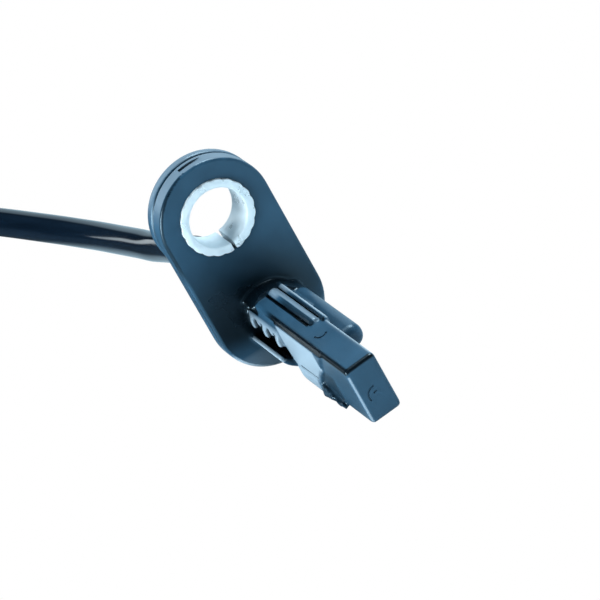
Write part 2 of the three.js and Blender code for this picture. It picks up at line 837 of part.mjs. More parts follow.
const ways = [
  { name: "supply", side: 1, finish: "coreBrown" },
  { name: "signal", side: -1, finish: "coreBlue" },
];
for (const way of ways) {
  sensor.add(named(`lead_${way.name}`, "tinned", leadStrip(way.side)));
  sensor.add(named(`conductor_${way.name}`, "copper", conductor(way.side)));
  sensor.add(named(`core_insulation_${way.name}`, way.finish, insulation(way.side)));
}

const hankClear = hankSolid(trimGap);
const freeLead = tubeAlong(routeCurve(leadRoute), cableRadius, 10, 14).subtract(hankClear);
const tailLead = tubeAlong(routeCurve(tailRoute), cableRadius, 10, 7).subtract(hankClear);
const lead = new THREE.Group();
lead.add(named("strain_relief_boot", "boot", boot()));
lead.add(named("cable_tube", "jacket", freeLead));
lead.add(named("cable_hank", "jacket", hankSolid(0)));
lead.add(named("hank_band_lower", "tape", hankBand(lowerBandX, -1)));
lead.add(named("hank_band_upper", "tape", hankBand(upperBandX, 1)));
lead.add(named("cable_tail", "jacket", tailLead));

const plug = new THREE.Group();
plug.add(named("plug_shell", "plug", plugShell()));
plug.add(named("plug_seal", "seal", plugSeal()));
plug.add(named("plug_lock", "lock", plugLock()));
plug.add(named("plug_cap", "plug", plugCap()));
for (const way of ways) {
  plug.add(named(`plug_pin_${way.name}`, "tinned", plugPin(way.side)));
  plug.add(named(`plug_conductor_${way.name}`, "copper", plugConductor(way.side)));
  plug.add(named(`plug_core_${way.name}`, way.finish, plugCore(way.side)));
}
plug.position.set(plugX, plugY, plugZ);

const part = new THREE.Group();
part.add(sensor, lead, plug);
part.updateMatrixWorld(true);

export default part;
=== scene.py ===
"""Looks of a wheel speed sensor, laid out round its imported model.

Metres, in the model's own frame: +X runs along the sensing head, +Z from the head to the bolt
sleeve, and the origin is the middle of the flange's seat face.
"""

import math

import bmesh
import bpy
from bpy.props import FloatProperty, FloatVectorProperty, PointerProperty
from mathutils import Matrix, Vector, noise


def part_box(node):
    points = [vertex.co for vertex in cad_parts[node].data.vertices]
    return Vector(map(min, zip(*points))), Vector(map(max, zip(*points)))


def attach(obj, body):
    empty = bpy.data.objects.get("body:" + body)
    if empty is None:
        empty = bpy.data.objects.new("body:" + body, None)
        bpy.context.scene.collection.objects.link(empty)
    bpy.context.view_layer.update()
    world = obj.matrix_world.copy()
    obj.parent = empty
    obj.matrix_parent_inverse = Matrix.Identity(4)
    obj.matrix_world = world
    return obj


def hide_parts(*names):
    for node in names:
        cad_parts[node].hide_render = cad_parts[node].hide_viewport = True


bl_info = {
    "name": "Wheel speed sensor looks",
    "version": (1, 0, 0),
    "blender": (4, 5, 0),
    "location": "3D View > Sidebar > Sensor",
    "description": "Builds the moulded head, bolt sleeve, lead and plug of a wheel speed sensor",
    "category": "Object",
}

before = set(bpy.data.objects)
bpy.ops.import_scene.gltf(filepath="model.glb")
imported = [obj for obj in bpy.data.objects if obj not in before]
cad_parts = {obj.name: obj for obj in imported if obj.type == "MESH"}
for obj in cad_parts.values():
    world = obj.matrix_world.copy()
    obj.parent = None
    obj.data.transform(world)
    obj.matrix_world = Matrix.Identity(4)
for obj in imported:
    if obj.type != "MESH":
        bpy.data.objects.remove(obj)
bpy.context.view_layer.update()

MM = 0.001
CM_PER_M = 100
FULL_TURN = 2 * math.pi

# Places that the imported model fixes: the moulding's box, the floor under it, the heights of the
# head's axis and of the bolt sleeve's, and the top of the head's blade
BODY_LOW, BODY_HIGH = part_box("sensor_body")
FLOOR_Z = BODY_LOW[2]
HEAD_Z = -8.82 * MM
BOLT_Z = 8.05 * MM
BLADE_TOP = HEAD_Z + 4.47 * MM

# Vertices that are nearer than this are one
SAME_PLACE = 1e-7

# Camera, measured from the photograph by fitting the flange, the sleeve and the head
CAMERA_PLACE = (0.52453, -0.10848, 0.27886)
CAMERA_RIGHT = (0.411, 0.8015, -0.4343)
CAMERA_UP = (-0.2991, 0.5686, 0.7663)
CAMERA_BACK = (0.8612, -0.185, 0.4734)
CAMERA_LENS = 269.9
CAMERA_SENSOR = 36

# The room. Glossy pieces mirror one pale side of it, behind the part and low: the way to that
# side, where it fades (as a cosine from its middle), and how bright the rest and that side are in
# a reflection. The room lights the part at its own level.
WINDOW_SIDE = (-0.83, 0.53, 0.18)
WINDOW_FADE = (0.85, 0.92)
WINDOW_LEVELS = (0.05, 0.9)
ROOM_LEVEL = 0.5
ROOM_BLUE = (0.62, 0.85, 1.0, 1)
WHITE = (1, 1, 1, 1)

# The floor in reflections, in millimetres: dark below both of its fades, which run along X and Y
# in front of the cable, and dim in a round spot below the head
FLOOR_BLUE = (0.56, 0.80, 0.95, 1)
FLOOR_FADES = (("X", (-16, -8)), ("Y", (-12, -7)))
FLOOR_DARK = 0.12
SPOT_MIDDLE = (15, -3)
SPOT_FADE = (5, 14)
SPOT_DIM = 0.15

# Lamps: name, place, the point it faces, its width and height, and its power
LAMP_BLUE = (0.84, 0.95, 1.0)
LAMPS = (
    ("side_light", (0.10, -0.45, 0.05), (0.01, 0, -0.005), 0.3, 0.3, 5.0),
    ("top_light", (-0.10, 0.30, 0.45), (0, 0, 0), 0.3, 0.3, 4.0),
    ("streak_light", (-0.92, -0.38, 0.16), (-0.05, 0, -0.01), 0.6, 0.1, 0.4),
)

# The lead's route from the housing to the hank, in millimetres
LEAD_ROUTE = (
    (-12, 0, -8.82), (-20, 0, -8.82), (-28, 0, -8.82), (-34.5, -0.58, -9.85),
    (-41.3, -1.56, -11.4), (-46.5, -2.24, -12.25), (-53.1, -3.29, -13.25), (-59, -4.51, -13.85),
    (-64.1, -5.96, -14.08), (-68.8, -7.5, -14.1), (-73.4, -9.1, -14.1), (-78.1, -10.74, -14.1),
    (-81.6, -12, -14.1), (-88, -14.35, -14.1), (-95, -16.8, -14.1), (-102, -19.1, -14.1),
    (-109, -21, -14.05), (-116, -22.4, -13.9), (-123, -23.2, -13.7),
)

# The tail's route from the hank's upper layer to the plug, in millimetres
TAIL_ROUTE = (
    (-200, 3.5, -9.15), (-195, 2.87, -9.15), (-190, 0.83, -9.25), (-185, -3.25, -9.5),
    (-180, -7.33, -9.8), (-175, -9.37, -10), (-170, -10, -10.05), (-163, -10, -10.05),
    (-156.5, -10, -10.05),
)

# Hank, in millimetres: the centres of its two folds, their radius, its two layers, and its bands
# of tape (place along the hank, side of it, name)
HANK_RIGHT = -133.5
HANK_LEFT = -209.5
HANK_Y = -10
FOLD_RADIUS = 13.5
HANK_LOW = -13.45
HANK_HIGH = -9.15
BANDS = ((-171, -1, "lower"), (-203, 1, "upper"))

# Plug, in millimetres: the middle of its rear face
PLUG = (-152, -10, -10.05)

# Plain and worn colours of pieces that share them
PLUG_BLACK = ((0.012, 0.013, 0.015), (0.06, 0.065, 0.07))
CORE_BROWN = ((0.10, 0.03, 0.012), (0.2, 0.1, 0.05))
CORE_BLUE = ((0.01, 0.05, 0.25), (0.05, 0.15, 0.4))
COPPER = (0.72, 0.33, 0.18)


class SensorSizes(bpy.types.PropertyGroup):
    cable_diameter: FloatProperty(
        name="Cable diameter", description="Outer diameter of the lead's jacket",
        default=4.3 * MM, unit="LENGTH")
    flange_radius: FloatProperty(
        name="Flange radius", description="Radius of the flange's round ends",
        default=BODY_HIGH[1], unit="LENGTH")
    sleeve_bore: FloatProperty(
        name="Sleeve bore", description="Inner radius of the bolt sleeve",
        default=4.2 * MM, unit="LENGTH")
    sleeve_radius: FloatProperty(
        name="Sleeve radius", description="Outer radius of the bolt sleeve",
        default=5.42 * MM, unit="LENGTH")
    grain: FloatProperty(
        name="Union grain", description="Voxel size that joins the housing's moulded forms",
        default=0.18 * MM, unit="LENGTH")


class SensorColours(bpy.types.PropertyGroup):
    housing: FloatVectorProperty(
        name="Housing", description="Plastic of the flange and head",
        default=(0.020, 0.062, 0.108), size=3, subtype="COLOR")
    jacket: FloatVectorProperty(
        name="Jacket", description="Plastic of the cable's jacket",
        default=(0.001, 0.004, 0.009), size=3, subtype="COLOR")
    steel: FloatVectorProperty(
        name="Steel", description="Plated steel of the bolt sleeve",
        default=(0.86, 0.95, 1.0), size=3, subtype="COLOR")
    floor: FloatVectorProperty(
        name="Floor", description="Table and backdrop",
        default=(0.92, 0.92, 0.92), size=3, subtype="COLOR")


def sizes():
    return bpy.context.scene.sensor_sizes


def colours():
    return bpy.context.scene.sensor_colours


# Mesh helpers


def linked(name, data):
    """A new object of the data, in the scene."""
    piece = bpy.data.objects.new(name, data)
    bpy.context.scene.collection.objects.link(piece)
    return piece


def smoothed(mesh, angle):
    """Shades the mesh smooth, except at edges sharper than the angle in degrees."""
    mesh.polygons.foreach_set("use_smooth", [True] * len(mesh.polygons))
    mesh.set_sharp_from_angle(angle=math.radians(angle))


def finished(name, bm, material, smooth_angle=40):
    """Makes one object of the mesh, shaded smooth except at its sharp edges."""
    mesh = bpy.data.meshes.new(name)
    bmesh.ops.remove_doubles(bm, verts=bm.verts, dist=SAME_PLACE)
    bmesh.ops.recalc_face_normals(bm, faces=bm.faces)
    bm.to_mesh(mesh)
    bm.free()
    smoothed(mesh, smooth_angle)
    mesh.materials.append(material)
    return linked(name, mesh)


def applied(piece):
    """Puts what the modifiers made into the object's own mesh."""
    seen = piece.evaluated_get(bpy.context.evaluated_depsgraph_get())
    mesh = bpy.data.meshes.new_from_object(seen)
    piece.modifiers.clear()
    old = piece.data
    piece.data = mesh
    bpy.data.meshes.remove(old)
    return piece


def cut_from(piece, name, bm):
    """Takes the mesh's shape out of the piece."""
    tool = finished(name, bm, bpy.data.materials.new("cut"))
    cut = piece.modifiers.new("cut", "BOOLEAN")
    cut.operation = "DIFFERENCE"
    cut.solver = "EXACT"
    cut.object = tool
    applied(piece)
    bpy.data.objects.remove(tool)


def on_circle(centre, radius, angle):
    """The point of a circle at an angle in degrees."""
    turn = math.radians(angle)
    return centre[0] + radius * math.cos(turn), centre[1] + radius * math.sin(turn)


def arc(centre, radius, start, end, steps):
    """Points on an arc, in degrees, in the two axes of an outline."""
    return [on_circle(centre, radius, start + (end - start) * i / steps) for i in range(steps + 1)]


def on_head(points):
    """Points in millimetres, the second of each pair up from the head's axis, in metres."""
    return [(across * MM, HEAD_Z + up * MM) for across, up in points]


def prism(bm, outline, axis, low, high, edge=0.0, segments=3):
    """Extrudes an outline along X (drawn in Y, Z), Y (drawn in X, Z) or Z (drawn in X, Y), with
    rounded end rims."""
    k = "XYZ".index(axis)
    shift = [0, 0, 0]
    shift[k] = high - low
    start = bm.faces.new([bm.verts.new((*point[:k], low, *point[k:])) for point in outline])
    raised = bmesh.ops.extrude_face_region(bm, geom=[start], use_keep_orig=True)["geom"]
    moved = [v for v in raised if isinstance(v, bmesh.types.BMVert)]
    bmesh.ops.translate(bm, verts=moved, vec=shift)
    end = [f for f in raised if isinstance(f, bmesh.types.BMFace)]
    rim = list(start.edges) + [e for f in end for e in f.edges]
    faces = dict.fromkeys([start, *end] + [f for e in rim for f in e.link_faces])
    bmesh.ops.recalc_face_normals(bm, faces=list(faces))
    if edge > 0:
        bmesh.ops.bevel(bm, geom=rim, offset=edge, segments=segments, profile=0.5, affect="EDGES",
                        material=-1, clamp_overlap=True)


def turned(bm, profile, centre, steps=96, closed=False):
    """Spins a profile of (x, radius) points round a line along X. An open one runs from axis to
    axis, and a closed one leaves its bore open."""
    verts = [bm.verts.new((x, centre[0], centre[1] + r)) for x, r in profile]
    after = verts[1:] + verts[:1] if closed else verts[1:]
    edges = [bm.edges.new(pair) for pair in zip(verts, after)]
    bmesh.ops.spin(bm, geom=verts + edges, cent=(0, centre[0], centre[1]), axis=(1, 0, 0),
                   dvec=(0, 0, 0), angle=FULL_TURN, steps=steps, use_merge=True)
    bmesh.ops.remove_doubles(bm, verts=bm.verts, dist=SAME_PLACE)


def loop_skin(bm, loops):
    """Joins equal closed loops one to the next, and the last to the first."""
    rings = [[bm.verts.new(p) for p in loop] for loop in loops]
    for ring, after in zip(rings, rings[1:] + rings[:1]):
        for i, vert in enumerate(ring):
            k = (i + 1) % len(ring)
            bm.faces.new((vert, ring[k], after[k], after[i]))


def rounded_box(bm, low, high, edge=0.0):
    """A box between two corners, with rounded edges where an edge radius is given."""
    size = Vector(high) - Vector(low)
    centre = (Vector(high) + Vector(low)) / 2
    matrix = Matrix.Translation(centre) @ Matrix.Diagonal((*size, 1))
    made = bmesh.ops.create_cube(bm, size=1, matrix=matrix)["verts"]
    if edge > 0:
        edges = list(dict.fromkeys(e for v in made for e in v.link_edges))
        bmesh.ops.bevel(bm, geom=edges, offset=edge, segments=3, profile=0.5, affect="EDGES",
                        material=-1)


def rounded_outline(width, height, radius, centre, steps=8):
    """A rectangle with round corners."""
    w = width / 2 - radius
    h = height / 2 - radius
    corners = ((w, h, 0), (-w, h, 90), (-w, -h, 180), (w, -h, 270))
    points = []
    for y, z, start in corners:
        points += arc((centre[0] + y, centre[1] + z), radius, start, start + 90, steps)
    return points


def smooth_route(points, steps):
    """A Catmull-Rom curve through the points, as vectors."""
    nodes = [Vector(p) for p in points]
    nodes = [2 * nodes[0] - nodes[1]] + nodes + [2 * nodes[-1] - nodes[-2]]
    route = []
    for a, b, c, d in zip(nodes, nodes[1:], nodes[2:], nodes[3:]):
        for i in range(steps):
            t = i / steps
            route.append(0.5 * (2 * b + (c - a) * t + (2 * a - 5 * b + 4 * c - d) * t * t
                                + (3 * b - 3 * c + d - a) * t ** 3))
    route.append(nodes[-2])
    return route


def ramp(value, start, end):
    """0 before start, 1 after end, and smooth between."""
    t = min(1.0, max(0.0, (value - start) / (end - start)))
    return t * t * (3 - 2 * t)


# Materials


# A mix node's sockets of several types share their names, so they go by number: two in, one out
MIX_SOCKETS = {"FLOAT": (2, 3, 0), "RGBA": (6, 7, 2)}


class Nodes:
    """Short ways to add nodes to one tree."""

    def __init__(self, tree):
        self.tree = tree

    def add(self, kind, **settings):
        node = self.tree.nodes.new(kind)
        for key, value in settings.items():
            setattr(node, key, value)
        return node

    def link(self, source, target):
        self.tree.links.new(source, target)

    def set(self, node, **values):
        for key, value in values.items():
            node.inputs[key.replace("_", " ")].default_value = value

    def give(self, value, target):
        """Links a socket to the target, or writes a plain value into it."""
        if isinstance(value, bpy.types.NodeSocket):
            self.link(value, target)
        else:
            target.default_value = value

    def calculated(self, operation, *values):
        node = self.add("ShaderNodeMath", operation=operation)
        for value, target in zip(values, node.inputs):
            self.give(value, target)
        return node.outputs["Value"]

    def mapped(self, value, given, wanted, interpolation="LINEAR"):
        """Carries a value from one range to another, and holds it within that."""
        node = self.add("ShaderNodeMapRange", interpolation_type=interpolation)
        self.set(node, From_Min=given[0], From_Max=given[1], To_Min=wanted[0], To_Max=wanted[1])
        self.link(value, node.inputs["Value"])
        return node.outputs["Result"]

    def mixed(self, factor, first, second, blend="MIX", kind="RGBA"):
        node = self.add("ShaderNodeMix", data_type=kind, blend_type=blend)
        low, high, result = MIX_SOCKETS[kind]
        self.give(factor, node.inputs["Factor"])
        self.give(first, node.inputs[low])
        self.give(second, node.inputs[high])
        return node.outputs[result]

    def cloud(self, place, scale, detail):
        node = self.add("ShaderNodeTexNoise")
        self.link(place, node.inputs["Vector"])
        self.give(scale, node.inputs["Scale"])
        self.set(node, Detail=detail)
        return node.outputs["Fac"]

    def two_tone(self, value, stops, low, high):
        """The low colour up to the first stop, the high one from the second."""
        node = self.add("ShaderNodeValToRGB")
        for i, colour in enumerate((low, high)):
            node.color_ramp.elements[i].position = stops[i]
            node.color_ramp.elements[i].color = (*colour, 1)
        self.link(value, node.inputs["Fac"])
        return node.outputs["Color"]

    def relief(self, height, strength, depth, shader):
        """Bumps on the shader's surface, their depth in millimetres."""
        node = self.add("ShaderNodeBump")
        self.set(node, Strength=strength, Distance=depth * MM)
        self.link(height, node.inputs["Height"])
        self.link(node.outputs["Normal"], shader.inputs["Normal"])


def effect_group(name, inputs, outputs):
    """An empty node group with its sockets: its tree, its nodes, and its two ends."""
    tree = bpy.data.node_groups.new(name, "ShaderNodeTree")
    for label, kind, default in inputs:
        socket = tree.interface.new_socket(name=label, in_out="INPUT", socket_type=kind)
        socket.default_value = default
    for label, kind in outputs:
        tree.interface.new_socket(name=label, in_out="OUTPUT", socket_type=kind)
    nodes = Nodes(tree)
    return tree, nodes, nodes.add("NodeGroupInput").outputs, nodes.add("NodeGroupOutput").inputs


def moulded_skin_group():
    """Fine grain, cloudy tone and rubbed edges of a moulded plastic, with painted shade in its hollows.
    The attribute tone paints shade, which is also glossier (below 0), and highlights (above 0)."""
    name = "moulded skin"
    if name in bpy.data.node_groups:
        return bpy.data.node_groups[name]
    tree, n, given, out = effect_group(
        name,
        [("Color", "NodeSocketColor", (0.02, 0.05, 0.09, 1)),
         ("Worn Color", "NodeSocketColor", (0.1, 0.2, 0.3, 1)),
         ("Pale Color", "NodeSocketColor", (0.3, 0.5, 0.7, 1)),
         ("Roughness", "NodeSocketFloat", 0.42),
         ("Wear", "NodeSocketFloat", 0.5),
         ("Grain Size", "NodeSocketFloat", 2600.0)],
        [("Color", "NodeSocketColor"), ("Roughness", "NodeSocketFloat"), ("Height", "NodeSocketFloat")])
    place = n.add("ShaderNodeTexCoord").outputs["Object"]
    cloud = n.cloud(place, 180.0, 3.0)
    grain = n.cloud(place, given["Grain Size"], 2.0)
    # The attribute tone: painted shade below 0, painted highlights towards the pale colour above 0
    tone = n.add("ShaderNodeAttribute", attribute_name="tone").outputs["Fac"]

    cloudy = n.mixed(1.0, given["Color"], n.mapped(cloud, (0.3, 0.7), (0.82, 1.2)), "MULTIPLY")
    pointed = n.add("ShaderNodeNewGeometry").outputs["Pointiness"]
    rubbed = n.calculated("MULTIPLY", n.mapped(pointed, (0.52, 0.62), (0.0, 1.0)), given["Wear"])
    worn = n.mixed(rubbed, cloudy, given["Worn Color"])
    paler = n.mixed(tone, worn, given["Pale Color"])
    # Painted shade in the hollows, from ambient occlusion within 5 mm
    hollow = n.add("ShaderNodeAmbientOcclusion", samples=8)
    n.set(hollow, Distance=5 * MM)
    shade = n.mapped(hollow.outputs["AO"], (0.3, 0.95), (0.12, 1.0))
    darker = n.mapped(tone, (-1.0, 0.0), (0.06, 1.0))
    dark = n.calculated("MULTIPLY", shade, darker)
    n.link(n.mixed(1.0, paler, dark, "MULTIPLY"), out["Color"])

    smoothest = n.calculated("SUBTRACT", given["Roughness"], 0.08)
    rough = n.calculated("MULTIPLY_ADD", cloud, 0.16, smoothest)
    sheen = n.mapped(tone, (-1.0, -0.3), (0.8, 1.0))
    n.link(n.calculated("MULTIPLY", rough, sheen), out["Roughness"])
    n.link(grain, out["Height"])
    return tree


def new_material(name):
    """A material, short ways to add its nodes, and its shader."""
    material = bpy.data.materials.new(name)
    material.use_nodes = True
    return material, Nodes(material.node_tree), material.node_tree.nodes["Principled BSDF"]


def moulded(name, colour, worn, roughness=0.42, wear=0.5, grain_size=2600.0, grain_depth=0.015,
            pale=None, tint=(1, 1, 1)):
    """Moulded plastic or rubber, with painted shade in its hollows. The pale colour is that of its
    painted highlights, and the tint colours its reflections.
    """
    material, n, shader = new_material(name)
    skin = n.add("ShaderNodeGroup", node_tree=moulded_skin_group())
    n.set(skin, Color=(*colour, 1), Worn_Color=(*worn, 1), Pale_Color=(*(pale or worn), 1),
          Roughness=roughness, Wear=wear, Grain_Size=grain_size)
    n.relief(skin.outputs["Height"], 0.35, grain_depth, shader)
    n.link(skin.outputs["Color"], shader.inputs["Base Color"])
    n.link(skin.outputs["Roughness"], shader.inputs["Roughness"])
    n.set(shader, IOR=1.5, Specular_Tint=(*tint, 1))
    return material


def metal(name, colour, roughness=0.25, scratch_scale=900.0, depth=0.02, metallic=1.0, worn=0.72):
    """Scratched metal. Its dull places keep only the worn share of the colour."""
    material, n, shader = new_material(name)
    scratches = n.cloud(n.add("ShaderNodeTexCoord").outputs["Object"], scratch_scale, 4.0)
    tone = n.two_tone(scratches, (0.35, 0.65), [c * worn for c in colour], colour)
    n.link(tone, shader.inputs["Base Color"])
    rough = n.mapped(scratches, (0.3, 0.7), (roughness * 0.7, roughness * 1.4))
    n.link(rough, shader.inputs["Roughness"])
    n.relief(scratches, 0.4, depth, shader)
    n.set(shader, Metallic=metallic)
    return material


def jacket_material():
    """Glossy extruded jacket: faint lines run along it, with rubbed, dusty stretches."""
    material, n, shader = new_material("jacket")
    colour = colours().jacket
    lines = n.add("ShaderNodeMapping")
    n.set(lines, Scale=(0.5, 9, 1))
    n.link(n.add("ShaderNodeUVMap", uv_map="run").outputs["UV"], lines.inputs["Vector"])
    streaks = n.cloud(lines.outputs["Vector"], 1.0, 3.0)
    tone = n.two_tone(streaks, (0.35, 0.75), colour, [2 * c + 0.001 for c in colour])
    n.link(tone, shader.inputs["Base Color"])
    n.link(n.mapped(streaks, (0.3, 0.7), (0.06, 0.16)), shader.inputs["Roughness"])
    n.relief(streaks, 0.1, 0.02, shader)
    return material


def backdrop_material():
    """White to the camera, blue in reflections, and a plain floor to everything else. Reflections
    are dark in front of the cable, so that only its upper and lower rims shine, and dim below the
    head, so that its root stays dark."""
    material, n, shader = new_material("backdrop")
    n.set(shader, Base_Color=(*colours().floor, 1), Roughness=0.9)
    path = n.add("ShaderNodeLightPath").outputs
    place = n.add("ShaderNodeTexCoord").outputs["Object"]
    split = n.add("ShaderNodeSeparateXYZ")
    n.link(place, split.inputs["Vector"])
    level = path["Is Camera Ray"]
    for axis, fade in FLOOR_FADES:
        bright = n.mapped(split.outputs[axis], [v * MM for v in fade], (FLOOR_DARK, 1.0), "SMOOTHSTEP")
        level = n.calculated("MAXIMUM", level, bright)
    from_head = n.add("ShaderNodeVectorMath", operation="DISTANCE")
    n.link(place, from_head.inputs[0])
    from_head.inputs[1].default_value = (*(v * MM for v in SPOT_MIDDLE), FLOOR_Z)
    spot = n.mapped(from_head.outputs["Value"], [v * MM for v in SPOT_FADE], (SPOT_DIM, 1.0),
                    "SMOOTHSTEP")
    spot = n.calculated("MAXIMUM", path["Is Camera Ray"], spot)
    light = n.add("ShaderNodeEmission")
    n.link(n.mixed(path["Is Camera Ray"], FLOOR_BLUE, WHITE), light.inputs["Color"])
    n.link(n.calculated("MULTIPLY", level, spot), light.inputs["Strength"])
    seen = n.calculated("MAXIMUM", path["Is Camera Ray"], path["Is Glossy Ray"])
    mix = n.add("ShaderNodeMixShader")
    n.link(seen, mix.inputs["Fac"])
    n.link(shader.outputs["BSDF"], mix.inputs[1])
    n.link(light.outputs["Emission"], mix.inputs[2])
    n.link(mix.outputs["Shader"], material.node_tree.nodes["Material Output"].inputs["Surface"])
    return material


# Stage


def studio_world():
    """White to the camera. Pieces mirror a dark room with one pale side."""
    world = bpy.data.worlds.new("studio")
    world.use_nodes = True
    n = Nodes(world.node_tree)
    background = world.node_tree.nodes["Background"]
    path = n.add("ShaderNodeLightPath").outputs
    facing = n.add("ShaderNodeVectorMath", operation="DOT_PRODUCT")
    n.link(n.add("ShaderNodeTexCoord").outputs["Generated"], facing.inputs[0])
    facing.inputs[1].default_value = WINDOW_SIDE
    window = n.mapped(facing.outputs["Value"], WINDOW_FADE, WINDOW_LEVELS, "SMOOTHSTEP")
    level = n.mixed(path["Is Glossy Ray"], ROOM_LEVEL, window, kind="FLOAT")
    n.link(n.mixed(path["Is Camera Ray"], ROOM_BLUE, WHITE), background.inputs["Color"])
    n.link(n.calculated("MAXIMUM", level, path["Is Camera Ray"]), background.inputs["Strength"])
    return world


def photo_camera():
    """The camera as it was fitted to the photograph."""
    data = bpy.data.cameras.new("camera")
    data.lens = CAMERA_LENS
    data.sensor_width = CAMERA_SENSOR
    data.clip_start = 0.01
    data.clip_end = 10
    camera = linked("camera", data)
    turn = Matrix((CAMERA_RIGHT, CAMERA_UP, CAMERA_BACK)).transposed().to_4x4()
    camera.matrix_world = Matrix.Translation(CAMERA_PLACE) @ turn
    return camera


def aimed_lamp(name, place, target, width, height, power):
    """A soft oval lamp that faces its target."""
    data = bpy.data.lights.new(name, "AREA")
    data.shape = "ELLIPSE"
    data.size = width
    data.size_y = height
    data.energy = power
    data.color = LAMP_BLUE
    lamp = linked(name, data)
    lamp.location = place
    lamp.rotation_euler = (Vector(target) - Vector(place)).to_track_quat("-Z", "Y").to_euler()


class SENSOR_OT_stage(bpy.types.Operator):
    """Adds the camera, the lights and the pale floor"""

    bl_idname = "sensor.stage"
    bl_label = "Stage"

    def execute(self, context):
        scene = context.scene
        scene.view_settings.view_transform = "Standard"
        scene.camera = photo_camera()
        scene.world = studio_world()
        bm = bmesh.new()
        bmesh.ops.create_grid(bm, x_segments=2, y_segments=2, size=3,
                              matrix=Matrix.Translation((0, 0, FLOOR_Z - 0.01 * MM)))
        floor = finished("floor", bm, backdrop_material())
        for lamp in LAMPS:
            aimed_lamp(*lamp)
        return {"FINISHED"}


# Lead


def hank_run(start, end, side, height):
    """Points 4 mm apart along one straight run, its last point left to the fold that follows."""
    steps = 19
    y = HANK_Y + side * FOLD_RADIUS
    return [Vector((start + (end - start) * i / steps, y, height)) for i in range(steps)]


def hank_fold(middle, start, end, low, high):
    """Points 15 degrees apart round one fold, rising from one height to another."""
    steps = 12
    points = []
    for i in range(steps):
        place = on_circle((middle, HANK_Y), FOLD_RADIUS, start + (end - start) * i / steps)
        height = low + (high - low) * ramp(i / steps, 0, 1)
        points.append(Vector((*place, height)))
    return points


def cable_route():
    """Out to the hank, once round it on the floor, half round on top of that, and on to the plug."""
    points = [Vector(p) for p in LEAD_ROUTE]
    points += hank_run(HANK_RIGHT, HANK_LEFT, -1, HANK_LOW)
    points += hank_fold(HANK_LEFT, 270, 90, HANK_LOW, HANK_LOW)
    points += hank_run(HANK_LEFT, HANK_RIGHT, 1, HANK_LOW)
    points += hank_fold(HANK_RIGHT, 90, -90, HANK_LOW, HANK_HIGH)
    points += hank_run(HANK_RIGHT, HANK_LEFT, -1, HANK_HIGH)
    points += hank_fold(HANK_LEFT, 270, 90, HANK_HIGH, HANK_HIGH)
    points += [Vector((HANK_LEFT, HANK_Y + FOLD_RADIUS, HANK_HIGH))]
    points += [Vector(p) for p in TAIL_ROUTE]
    return [p * MM for p in smooth_route(points, 4)]


def tube_mesh(route, radius, sides=24):
    """A closed tube along the route, with a UV map that runs along it in centimetres."""
    bm = bmesh.new()
    run = bm.loops.layers.uv.new("run")
    tangent = (route[1] - route[0]).normalized()
    side = tangent.cross(Vector((0, 0, 1))).normalized()
    rings = []
    length = 0.0
    lengths = []
    for i, point in enumerate(route):
        ahead = route[min(i + 1, len(route) - 1)] - route[max(i - 1, 0)]
        ahead.normalize()
        side = (side - ahead * side.dot(ahead)).normalized()
        across = ahead.cross(side)
        if i:
            length += (point - route[i - 1]).length
        lengths.append(length)
        ring = []
        for j in range(sides):
            angle = FULL_TURN * j / sides
            outward = math.cos(angle) * side + math.sin(angle) * across
            ring.append(bm.verts.new(point + radius * outward))
        rings.append(ring)
    for i, (low, high) in enumerate(zip(rings, rings[1:])):
        for j in range(sides):
            k = (j + 1) % sides
            face = bm.faces.new((low[j], low[k], high[k], high[j]))
            corners = ((i, j), (i, j + 1), (i + 1, j + 1), (i + 1, j))
            for loop, (along, turn) in zip(face.loops, corners):
                loop[run].uv = (lengths[along] * CM_PER_M, turn / sides)
    bm.faces.new(rings[0][::-1])
    bm.faces.new(rings[-1])
    return bm, length


def capsule(width, height, centre, steps=12):
    """A tall outline with round ends, drawn in Y and Z."""
    r = width / 2
    return (arc((centre[0], centre[1] + height / 2 - r), r, 0, 180, steps)
            + arc((centre[0], centre[1] - height / 2 + r), r, 180, 360, steps))


def tape_band(x, side, name):
    """A few laps of tape round both strands of one run of the hank."""
    diameter = sizes().cable_diameter
    centre = ((HANK_Y + side * FOLD_RADIUS) * MM, (HANK_LOW + HANK_HIGH) / 2 * MM)
    height = diameter + (HANK_HIGH - HANK_LOW) * MM
    loops = []
    laps = ((-3.9, 0.05), (-4, 0.2), (-3.95, 0.4), (-3.85, 0.44), (-1.2, 0.44), (-1.1, 0.54),
            (2.9, 0.54), (3, 0.44), (3.85, 0.44), (3.95, 0.4), (4, 0.2), (3.9, 0.05))
    for along, grow in laps:
        wide = diameter + 2 * grow * MM
        loops.append([((x + along) * MM, y, z) for y, z in capsule(wide, height + 2 * grow * MM, centre)])
    bm = bmesh.new()
    loop_skin(bm, loops)
    material = moulded(f"tape_{name}", (0.006, 0.006, 0.007), (0.03, 0.03, 0.03), 0.5, 0.3, 900, 0.03)
    return finished(f"tape_{name}", bm, material, 35)


def plug_outline(width, height, radius):
    """A rectangle with round corners about the plug's axis, in millimetres."""
    return rounded_outline(width * MM, height * MM, radius * MM, (PLUG[1] * MM, PLUG[2] * MM))


def plug_box(bm, low, high):
    """A box between two corners, in millimetres from the plug's rear face."""
    rounded_box(bm, *([(p + v) * MM for p, v in zip(PLUG, corner)] for corner in (low, high)))


